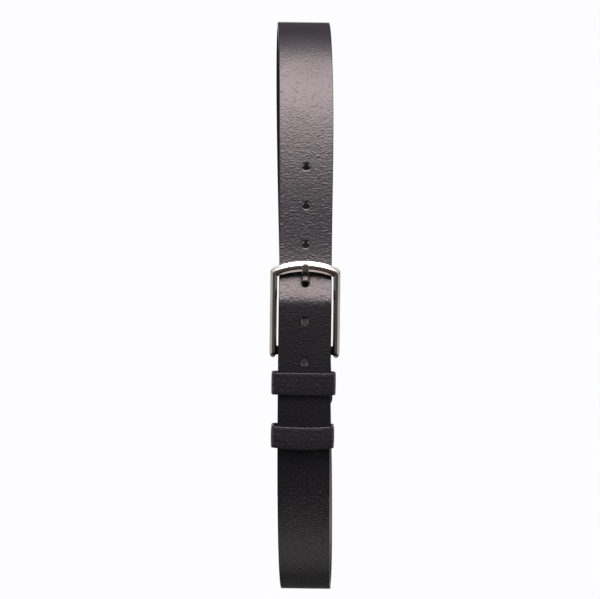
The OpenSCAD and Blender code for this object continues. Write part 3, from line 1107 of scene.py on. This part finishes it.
def show_grain(piece: bpy.types.Object, amount: Array | float) -> None:
    """Writes how much grain shows at each point of a piece, as the attribute "grain"."""
    values = np.broadcast_to(amount, (len(piece.data.vertices),)).astype(np.float32)
    piece.data.attributes.new("grain", "FLOAT", "POINT").data.foreach_set("value", values)


def settle(piece: bpy.types.Object, body: str, slot: str, *nodes: str) -> None:
    """Sets a finished piece on its body, in place of its CAD nodes, and reports it.

    Args:
        piece: the finished piece.
        body: the body that it rides on.
        slot: the record's material slot; not used.
        nodes: the CAD nodes that it stands for.
    """
    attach(piece, body)
    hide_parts(*nodes)
    log.info("%s: %d faces, rides on %s", piece.name, len(piece.data.polygons), body)


# --- keepers


@dataclass(frozen=True)
class Seat:
    """A place on the near run: local Z along the strap, local -Y out of its face."""

    origin: Array
    tilt: float
    shift: float = 0.0
    turn: float = 0.0

    def place(self, points: Array) -> Array:
        """Points from the seat's own axes to the frame: turned about X, shifted along X, then moved."""
        p = self._about_x(np.asarray(points, float), -self.turn)
        p[..., 0] += self.shift
        return self._about_x(p, -self.tilt) + self.origin

    @staticmethod
    def _about_x(p: Array, degrees: float) -> Array:
        """Points turned about the X axis."""
        c, s = math.cos(math.radians(degrees)), math.sin(math.radians(degrees))
        return np.stack([p[..., 0], c * p[..., 1] - s * p[..., 2], s * p[..., 1] + c * p[..., 2]], axis=-1)


@dataclass
class Keeper:
    """A leather loop that holds the tip down, closed by a wire staple at its back."""

    name: str
    body: str
    seat: Seat
    inner_w: float
    front: float
    back: float
    width: float = 14.6
    thickness: float = 1.8
    corner: float = 1.2
    edge: float = 0.45
    crown: float = 0.0
    crown_bow: float = 0.8
    droop: float = 0.0
    grain: float = 0.8
    side_steps: int = 26
    corner_steps: int = 7
    staple_wire: float = 0.8
    staple_span: float = 7.0
    staple_inset: float = 0.02
    paint_share: float = 0.8

    def _path(self) -> tuple[Array, Array]:
        """Middle line of the band and its outward direction, in the local XY plane.

        It is a rounded rectangle: straight sides, and quarter circles of the inner corner's radius
        plus half the thickness.

        Returns:
            The points and the outward directions.
        """
        half_t = self.thickness / 2
        r = self.corner + half_t
        right, low, high = self.inner_w / 2 + half_t - r, r - self.front - half_t, self.back + half_t - r
        centres = np.array([[right, high], [-right, high], [-right, low], [right, low]])
        share = np.linspace(0, 1, self.side_steps + 1)[1:-1, None]
        points, outward = [], []
        for k in range(4):
            ray = circle_points(k * math.pi / 2 + np.linspace(0, math.pi / 2, self.corner_steps + 1))
            before, after = (centres[n % 4] + r * ray[-1] for n in (k, k + 1))
            points += [centres[k] + r * ray, before * (1 - share) + after * share]
            outward += [ray, np.broadcast_to(ray[-1], (len(share), 2))]
        return np.concatenate(points), np.concatenate(outward)

    def _section(self) -> Array:
        """Outline of the band's cut: a rounded rectangle with extra points up both long sides.

        Returns:
            Rows of distance out and distance up.
        """
        corners = rounded_section(self.thickness, self.width, self.edge)
        half = len(corners) // 2
        rise = np.linspace(-self.width / 2 + self.edge, self.width / 2 - self.edge, 14)[1:-1]
        right = np.stack([np.full(len(rise), self.thickness / 2), rise], axis=-1)
        return np.concatenate([corners[:half], -right, corners[half:], right])

    def make(self, leather: Material, paint: Material, steel: Material) -> None:
        """Builds the band and its staple and sets them in the frame.

        The band's front is crowned by 1 - (height / half width)^2 and bows out by 1 - (side / half
        inner width)^2, and droops where it bows.

        Args:
            leather: finish of the band.
            paint: finish of the band's cut edges.
            steel: finish of the staple.
        """
        path, outward = self._path()
        out, up = self._section().T
        swell = self.crown * (1 - (up / (self.width / 2)) ** 2) * (out > 0)
        bow = np.clip(1 - (path[:, 0] / (self.inner_w / 2)) ** 2, 0, 1)
        bulge = (ease_between(-path[:, 1], 0.0, self.front) * bow)[:, None]
        flat = path[:, None, :] + outward[:, None, :] * (out + swell)[None, :, None]
        y = flat[..., 1] - self.crown * self.crown_bow * bulge
        points = self.seat.place(np.stack([flat[..., 0], y, up[None, :] - self.droop * bulge], axis=-1))
        side = np.abs(up) > self.width / 2 - self.edge * self.paint_share
        shell = Shell()
        add_tube(shell, points, True, np.tile(side.astype(int), len(points)))
        band = shell.build(f"{self.name}_band", [leather, paint])
        show_grain(band, self.grain)
        settle(band, self.body, "keeper_leather", self.name)
        staple = self._staple().build(f"{self.name}_wire", [steel])
        settle(staple, self.body, "staples", f"{self.name}_staple")

    def _staple(self) -> Shell:
        """A staple of round wire: its crown in the band's inner side and two legs through its back.

        Returns:
            The staple's shell.
        """
        r = self.staple_wire / 2
        half = self.staple_span / 2
        y0, y1 = self.back + r, self.back + self.thickness - self.staple_inset
        bend = np.linspace(0, math.pi / 2, 6)
        top = np.stack([y0 + r * (1 - np.cos(bend)), half - r + r * np.sin(bend)], axis=-1)
        upper = np.concatenate([top, [[y1 - r, half]], [[y1, half]]])
        line = np.concatenate([upper[::-1] * [1, -1], upper])
        centre = np.concatenate([np.zeros((len(line), 1)), line], axis=1)
        side = np.array([1.0, 0.0, 0.0])
        normal = np.cross(side, unit(np.gradient(centre, axis=0)))
        turn = np.linspace(0, 2 * math.pi, 12, endpoint=False)[:, None]
        rings = centre[:, None] + r * (np.cos(turn) * side + np.sin(turn) * normal[:, None])
        shell = Shell()
        add_tube(shell, self.seat.place(rings))
        return shell


# --- buckle


@dataclass(frozen=True)
class Outline:
    """Half of a frame's outline: up the arm, round the corner and along an arc to the middle."""

    half_w: float
    crown: float
    radius: float
    corner: float

    def bend(self) -> tuple[float, float, float]:
        """The corner circle's middle, and the angle at which it meets the arc.

        Its middle lies the corner's radius in from the arm's line and from the arc.

        Returns:
            Side, height and angle.
        """
        x = self.half_w - self.corner
        low = self.crown - self.radius
        z = low + math.sqrt((self.radius - self.corner) ** 2 - x * x)
        return x, z, math.atan2(z - low, x)

    def points(self, tip: Array, arm_steps: int = 33, corner_steps: int = 14, arc_steps: int = 48) -> Array:
        """The outline's points, one row of x and z each.

        Args:
            tip: heights of the arm's lower end, up to where its straight part starts.
            arm_steps: steps up the straight part.
            corner_steps: steps round the corner.
            arc_steps: steps from the corner to the middle.

        Returns:
            The points from the arm's lower end to the middle of the arc.
        """
        x, z, meet = self.bend()
        rise = np.concatenate([tip, np.linspace(tip[-1], z, arm_steps + 1)[1:-1]])
        arm = np.stack([np.full(len(rise), self.half_w), rise], axis=-1)
        corner = [x, z] + circle_points(np.linspace(0, meet, corner_steps + 1), self.corner)
        sweep = np.linspace(meet, math.pi / 2, arc_steps + 1)[1:]
        arc = [0, self.crown - self.radius] + circle_points(sweep, self.radius)
        return np.concatenate([arm, corner, arc])


@dataclass
class Buckle:
    """The buckle: a cast bevelled frame, its bar and the prong."""

    route: Route
    strap_w: float = 35.0
    side_gap: float = 1.1
    arm_w: float = 4.6
    crown: float = 29.2
    arch_face: float = 6.6
    arch_r: float = 56.0
    inner_r: float = 53.5
    corner: float = 3.6
    inner_corner: float = 1.4
    depth: float = 4.4
    back_y: float = -94.4382
    back_soft: float = 0.35
    outer_wall: float = 2.55
    inner_wall: float = 3.15
    outer_slope: float = 36.0
    inner_slope: float = 37.0
    crown_at: float = 0.4
    crown_fall: float = 0.9
    edge_sharp: float = 8.0
    arm_end: float = -34.5
    tip_round: float = 4.2
    tip_middle: float = 0.42
    tip_least: float = 0.05
    lug_r: float = 3.05
    lug_w: float = 5.3
    lug_soft: float = 0.7
    lug_inset: float = 0.35
    prong_w: float = 4.2
    prong_t: float = 2.0
    prong_root: tuple[float, float] = (-0.4, 2.2)
    prong_bend: tuple[float, float] = (-91.0557, 11.0)
    prong_knee: tuple[float, float] = (-96.8, 16.8)
    prong_rest: tuple[float, float] = (-99.9582, 21.6)
    prong_top: float = 28.0
    prong_cuts: tuple[float, ...] = (3.0, 2.0, 2.2)
    prong_round: float = 0.54
    prong_end: float = 0.02
    prong_thin: float = 0.45
    prong_clear: float = 0.05
    prong_wall: float = 1.3
    ring_soft: float = 0.4

    def _frame(self) -> Shell:
        """The frame, swept as rings from the right arm's tip over the arch to the left arm's tip.

        A ring spans from the inner outline to the outer one. Its front is bevelled on both sides and
        stands on straight walls, and its back is flat with rounded corners. Towards an arm's tip the
        rings shrink as sqrt(1 - (1 - share)^2).

        Returns:
            The shell, with slot 0 on the frame and slot 1 on the lugs.
        """
        inner_w = self.strap_w / 2 + self.side_gap
        outer = Outline(inner_w + self.arm_w, self.crown, self.arch_r, self.corner)
        inner = Outline(inner_w, self.crown - self.arch_face, self.inner_r, self.inner_corner)
        turn = np.linspace(0, math.pi / 2, 12)[1:]
        tip = self.arm_end + self.tip_round * (1 - np.cos(turn))
        out, low = outer.points(tip), inner.points(tip)
        full = np.ones(len(out))
        full[: len(tip)] = np.sin(turn)
        middle = (out + low) / 2
        out, low = (middle + (side - middle) * full[:, None] for side in (out, low))
        out, low = (np.concatenate([side, (side * [-1.0, 1.0])[-2::-1]]) for side in (out, low))
        full = np.concatenate([full, full[-2::-1]])
        w_front, h_front = self._front()
        w = np.concatenate([w_front, [0.0, 0.06, 0.3, 0.7, 0.94, 1.0]])
        h = np.concatenate([h_front, [self.back_soft, 0.0, 0.0, 0.0, 0.0, self.back_soft]])
        flat = low[:, None, :] + (out - low)[:, None, :] * w[None, :, None]
        centre_h = self.depth * self.tip_middle
        y = self.back_y - centre_h - (h[None, :] - centre_h) * np.maximum(full, self.tip_least)[:, None]
        shell = Shell()
        add_tube(shell, np.stack([flat[..., 0], y, flat[..., 1]], axis=-1) + self.route.loop.middle)
        self._lugs(shell)
        return shell

    def _front(self) -> tuple[Array, Array]:
        """The section's front: a wide bevel on the outer side, a narrow one inside and a low crown between.

        The front is the smooth minimum of the three heights, -ln(sum of e^(-k height)) / k.

        Returns:
            Shares of the way from the inner side to the outer one, from 1 to 0, and their heights.
        """
        share = 0.5 + 0.5 * np.cos(np.linspace(0, math.pi, 49))
        outer = self.outer_wall + (1 - share) * self.arch_face * math.tan(math.radians(self.outer_slope))
        inner = self.inner_wall + share * self.arch_face * math.tan(math.radians(self.inner_slope))
        crown = self.depth - self.crown_fall * (share - self.crown_at) ** 2
        total = sum(np.exp(-self.edge_sharp * h) for h in (outer, inner, crown))
        return share, -np.log(total) / self.edge_sharp

    def _lugs(self, shell: Shell) -> None:
        """Adds the two lugs at the arms' lower ends: short discs about the bar, with round edges.

        Args:
            shell: the frame's shell.
        """
        turn = np.linspace(0, math.pi / 2, 5)
        rim = [self.lug_r, 0] + self.lug_soft * np.stack([np.sin(turn) - 1, 1 - np.cos(turn)], axis=-1)
        far_rim = (rim * [1, -1] + [0, self.lug_w])[::-1]
        rings = lathe(np.concatenate([rim, [[self.lug_r, self.lug_w / 2]], far_rim]), 40)
        half = self.strap_w / 2 + self.side_gap + self.arm_w - self.lug_inset
        bar = self.route.bar_centre + self.route.loop.middle
        for side in (-1, 1):
            points = np.stack([side * (half - rings[..., 2]), rings[..., 0] * side, rings[..., 1]], axis=-1)
            add_tube(shell, points + bar, slot=1)

    def _prong(self) -> Shell:
        """The prong: flat wire that leaves its ring, dips behind the strap, comes out and lies on the arch.

        Its section is a rounded rectangle that shrinks to a round end as sqrt(1 - (1 - share)^2).

        Returns:
            The prong's shell.
        """
        root = self.route.bar_centre[1:] + self.prong_root
        front = (self.prong_rest[0], self.prong_top)
        line = self._rounded(np.array([root, self.prong_bend, self.prong_knee, self.prong_rest, front]))
        s = run_length(line)
        tangent = unit(np.gradient(line, s, axis=0))
        reach = np.clip((s[-1] - s) / (self.prong_w / 2), 0, 1)
        wide = np.maximum(np.sqrt(1 - (1 - reach) ** 2), self.prong_end)
        section = rounded_section(self.prong_w, self.prong_t, self.prong_round, 6)
        deep = section[None, :, 1] * (self.prong_thin + (1 - self.prong_thin) * np.sqrt(wide))[:, None]
        y, z = line[:, None, 0] - tangent[:, None, 1] * deep, line[:, None, 1] + tangent[:, None, 0] * deep
        shell = Shell()
        points = np.stack([section[None, :, 0] * wide[:, None], y, z], axis=-1)
        add_tube(shell, points + self.route.loop.middle)
        self._ring(shell)
        return shell

    def _rounded(self, corners: Array) -> Array:
        """A polyline with its inner corners rounded.

        Round a corner the line is the quadratic curve a(1-t)^2 + 2bt(1-t) + ct^2, where b is the
        corner and a and c lie the cut's length before and after it.

        Args:
            corners: the polyline's points.

        Returns:
            The line's points, close together.
        """
        t = np.linspace(0, 1, 13)[:, None]
        parts = [corners[:1]]
        for before, b, after, cut in zip(corners, corners[1:], corners[2:], self.prong_cuts):
            a, c = b + unit(before - b) * cut, b + unit(after - b) * cut
            parts.append(a * (1 - t) ** 2 + 2 * b * t * (1 - t) + c * t**2)
        joined = np.concatenate([*parts, corners[-1:]])
        s = run_length(joined)
        even = np.sort(np.concatenate([np.linspace(0, s[-1], 90), s[-1] - np.array([0.05, 0.15, 0.3, 0.5])]))
        return np.stack([np.interp(even, s, joined[:, k]) for k in range(2)], axis=-1)

    def _ring(self, shell: Shell) -> None:
        """Adds the prong's ring round the bar: a rounded rectangle carried round a circle.

        Args:
            shell: the prong's shell.
        """
        section = rounded_section(self.prong_wall, self.prong_w, self.ring_soft, 3)
        turn = np.linspace(0, 2 * math.pi, 40, endpoint=False)[:, None]
        radius = self.route.bar_d / 2 + self.prong_clear + self.prong_wall / 2 + section[:, 0]
        y, z = np.cos(turn) * radius, np.sin(turn) * radius
        points = np.stack([np.broadcast_to(section[:, 1], y.shape), y, z], axis=-1)
        add_tube(shell, points + self.route.bar_centre + self.route.loop.middle, True)

    def make(self, nickel: Material, cast: Material, wire: Material) -> None:
        """Builds the frame and the prong and sets them in the frame.

        Args:
            nickel: finish of the polished frame.
            cast: finish of the lugs: a rough nickel darkened as painted shade, for the shade that falls
                between the arms and the strap.
            wire: finish of the prong.
        """
        frame = self._frame().build("bevelled_frame", [nickel, cast], 60)
        settle(frame, "buckle", "buckle_metal", "buckle_frame")
        settle(self._prong().build("flat_wire_prong", [wire], 60), "prong", "prong_metal", "prong")


# --- rivets


@dataclass
class Rivets:
    """Two tubular rivets that clamp the turned-back end: posts with domed heads, and their caps."""

    route: Route
    x: float = 9.0
    up: float = 3.6
    shank_d: float = 2.2
    head_d: float = 4.6
    head_t: float = 0.65
    head_dome: float = 0.9
    sink: float = 0.7
    cap_t: float = 1.0
    cap_gap: float = 0.35
    cap_wall: float = 0.45
    cap_foot: float = 0.96
    cap_soft: float = 0.1

    def make(self, steel: Material) -> None:
        """Builds the posts and caps and sets them in the frame.

        Args:
            steel: finish of the posts and caps.
        """
        route = self.route
        t = route.loop.strap_t
        z = route.turn_end + self.up
        front = t / 2
        back = 2 * route.skived - t + route.gap / 2 + t / 2
        seat = Seat(route.loop.near(z, 0.0) + route.loop.middle, route.loop.tilt(z))
        turn = np.linspace(0, math.pi / 2, 7)
        r, shank = self.head_d / 2, self.shank_d / 2
        head = np.stack([r * np.sin(turn), self.head_t * self.head_dome * (1 - np.cos(turn))], axis=-1)[1:]
        end = self.head_t + front + back + self.cap_gap - self.sink + self.cap_t / 2
        post = np.concatenate([head, [[r, self.head_t], [shank, self.head_t], [shank, end]]])
        post += [0, -front + self.sink - self.head_t]
        rise = self.cap_t * (self.cap_wall + (1 - self.cap_wall) * np.sin(turn))
        dome = np.stack([r * np.cos(turn), rise], axis=-1)[:-1]
        foot = [[shank, 0.0], [r * self.cap_foot, 0.0], [r, self.cap_soft]]
        cap = np.concatenate([foot, dome]) + [0, back + self.cap_gap]
        plan = (("rivet_post_pair", "rivet_posts", post), ("rivet_cap_pair", "rivet_caps", cap))
        for name, cad, profile in plan:
            shell = Shell()
            rings = lathe(profile[::-1], 32)
            for side in (-1, 1):
                local = np.stack([rings[..., 0] + side * self.x, rings[..., 2], -rings[..., 1]], axis=-1)
                add_tube(shell, seat.place(local))
            settle(shell.build(name, [steel], 50), "strap", "rivets", cad)


# --- studio


@dataclass(frozen=True)
class Studio:
    """A pale floor, a soft box above and in front, pale surroundings and the camera."""

    distance: float = 1265.0
    plane_y: float = -100.0
    eye_x: float = -3.4
    eye_up: float = 3.95
    roll: float = 0.7
    lens: float = 114.9
    floor_z: float = -900.0
    floor_y: float = -210.0
    floor_r: float = 230.0
    floor_t: float = 12.0
    box_elevation: float = 61.5
    box_distance: float = 1500.0
    box_size: float = 1080.0
    box_power: float = 31.0

    def make(self, middle: Array) -> None:
        """Builds the studio round the loop's middle.

        Args:
            middle: the loop's middle.
        """
        camera = bpy.data.cameras.new("camera")
        camera.lens = self.lens
        camera.sensor_width = 36.0
        camera.clip_end = 50.0
        eye = (self.eye_x, self.plane_y - self.distance, middle[2] + self.eye_up)
        # The camera is level and square to the buckle, with a slight roll.
        bpy.context.scene.camera = self._stand(camera, eye, (math.pi / 2, -math.radians(self.roll), 0.0))
        lamp = bpy.data.lights.new("soft_box", "AREA")
        lamp.shape = "DISK"
        lamp.size = self.box_size * MM
        lamp.energy = self.box_power
        lamp.color = linear("#ffe8ea")[:3]
        lift = math.radians(self.box_elevation)
        back, up = self.box_distance * math.cos(lift), self.box_distance * math.sin(lift)
        self._stand(lamp, (0.0, self.plane_y - back, middle[2] + up), (math.pi / 2 - lift, 0.0, 0.0))
        self._floor()
        self._surroundings()

    @staticmethod
    def _stand(data: bpy.types.ID, place: Sequence[float], turn: Sequence[float]) -> bpy.types.Object:
        """Stands a camera or a light at a place in millimetres, turned by angles in radians.

        Args:
            data: the camera or light.
            place: where it stands.
            turn: its angles.

        Returns:
            The new object.
        """
        made = bpy.data.objects.new(data.name, data)
        bpy.context.scene.collection.objects.link(made)
        made.location = [part * MM for part in place]
        made.rotation_euler = turn
        return made

    def _floor(self) -> None:
        """Adds the floor: a pale disc well below the belt."""
        rings = lathe(np.array([[1.0, 0.0], [self.floor_r, 0.0], [self.floor_r, -self.floor_t]]), 96)
        shell = Shell()
        add_tube(shell, rings + [0.0, self.floor_y, self.floor_z])
        shell.build("floor", [FloorFinish().make()])

    def _surroundings(self) -> None:
        """Sets the world: white behind at the belt's height, pale above, dim on the near side and below."""
        world = bpy.data.worlds.new("surroundings")
        world.use_nodes = True
        tree = world.node_tree
        tree.nodes.clear()
        place = node(tree, "TexCoord")
        split = node(tree, "SeparateXYZ", {"Vector": place.outputs["Generated"]})
        height = node(tree, "Math", {0: split.outputs["Z"]}, operation="ABSOLUTE")
        fades = [
            (split.outputs["Y"], -0.75, 0.35, 0.11, 1.0),
            (height, 0.16, 0.5, 1.0, 0.12),
            (split.outputs["Z"], 0.06, 0.55, 0.0, 1.35),
            (split.outputs["Y"], -0.35, 0.35, 1.0, 0.1),
        ]
        names = ("Value", "From Min", "From Max", "To Min", "To Max")
        walls, level, above, ahead = (
            node(tree, "MapRange", dict(zip(names, fade)), interpolation_type="SMOOTHSTEP") for fade in fades
        )
        sides = node(tree, "Math", {0: walls, 1: level}, operation="MULTIPLY")
        ceiling = node(tree, "Math", {0: above, 1: ahead}, operation="MULTIPLY")
        depth = node(tree, "Math", {0: sides, 1: ceiling}, operation="MAXIMUM")
        # The camera itself sees plain white behind the belt.
        seen = node(tree, "LightPath").outputs["Is Camera Ray"]
        strength = node(tree, "Mix", {0: seen, 2: depth, 3: 1.0}, data_type="FLOAT")
        back = node(tree, "Background", {"Color": linear("#fdfdff"), "Strength": strength})
        node(tree, "OutputWorld", {"Surface": back})
        bpy.context.scene.world = world
        bpy.context.scene.view_settings.view_transform = "Standard"


# --- the belt


@dataclass
class KeeperPair:
    """Where the fixed keeper and the sliding one sit on the strap, and how loosely."""

    route: Route
    fixed_x: float = -0.4
    fixed_ease: float = 0.45
    fixed_crown: float = 0.15
    side_ease: float = 1.95
    sliding_z: float = -86.5
    sliding_tilt: float = 7.0
    sliding_x: float = -0.8
    sliding_ease: float = 0.9
    sliding_narrower: float = 0.8
    sliding_crown: float = 0.3
    sliding_droop: float = 0.8

    def make(self, leather: Material, paint: Material, steel: Material) -> None:
        """Builds both keepers and sets them in the frame.

        The sliding keeper is tilted, so it is deeper than the fixed one by half its width x the
        tilt's sine.

        Args:
            leather: finish of both bands and of the fixed one's edges.
            paint: finish of the sliding one's edges.
            steel: finish of the staples.
        """
        route, loop = self.route, self.route.loop
        wide = route.width + 2 * self.side_ease
        over = route.lap_out + loop.strap_t / 2
        shift = np.array([self.fixed_x, 0.0, 0.0])
        seat = Seat(loop.near(route.fixed_z, 0.0) + loop.middle + shift, loop.tilt(route.fixed_z))
        sizes = wide, over + self.fixed_ease, route.fixed_back
        fixed = Keeper("fixed_keeper", "strap", seat, *sizes, crown=self.fixed_crown)
        fixed.make(leather, leather, steel)
        z, tilt = self.sliding_z, self.sliding_tilt
        room = route.keeper_w / 2 * math.sin(math.radians(tilt)) + self.sliding_ease
        seat = Seat(loop.near(z, 0.0) + loop.middle, loop.tilt(z), self.sliding_x, tilt)
        sizes = wide - self.sliding_narrower, over + room, loop.strap_t / 2 + room
        sliding = Keeper("sliding_keeper", "sliding_keeper", seat, *sizes)
        sliding.crown, sliding.droop = self.sliding_crown, self.sliding_droop
        sliding.make(leather, paint, steel)


def main() -> None:
    """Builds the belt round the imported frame, piece by piece, and the studio round it."""
    logging.basicConfig(level=logging.INFO, format="%(name)s: %(message)s")
    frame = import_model()
    route = Route(Loop())
    Studio().make(route.loop.middle)

    strap = {"relief": 0.85, "roughness": 0.34, "wrinkle_mm": 0.95}
    face = LeatherFinish("pebbled_cowhide", "#201f23", "#302e32", **strap)
    lining = LeatherFinish("smooth_lining_calf", "#171516", "#201d1d", Backing.LINING, 0.5, relief=0.25)
    bands = {"relief": 1.0, "roughness": 0.32, "wrinkle_mm": 0.9, "relief_mm": 0.6}
    keeper = LeatherFinish("keeper_cowhide", "#252428", "#343338", **bands).make()
    paint = EdgePaint().make()
    nickel = MetalFinish("polished_nickel_plate", "#c0b7b0", "#b0a7a0", 0.1)
    wire = MetalFinish("polished_nickel_wire", "#b9b0a8", "#a79e97", 0.16)
    # Painted shade: the lugs' nickel is darkened to stand for the shade that falls on them between the arms
    # and the strap.
    cast = MetalFinish("lug_nickel_darkened_as_painted_shade", "#2e2c2b", "#232121", 0.5)
    steel = MetalFinish("zinc_plated_steel", "#a9abad", "#8f9193", 0.3).make()

    Strap(route).make(face.make(), BoardFinish().make(), lining.make(), paint)
    Buckle(route).make(nickel.make(), cast.make(), wire.make())
    bar = frame["nodes"]["buckle_bar"]
    bar.data.materials.clear()
    bar.data.materials.append(steel)
    Rivets(route).make(steel)
    KeeperPair(route).make(keeper, paint, steel)


if __name__ == "__main__":
    main()
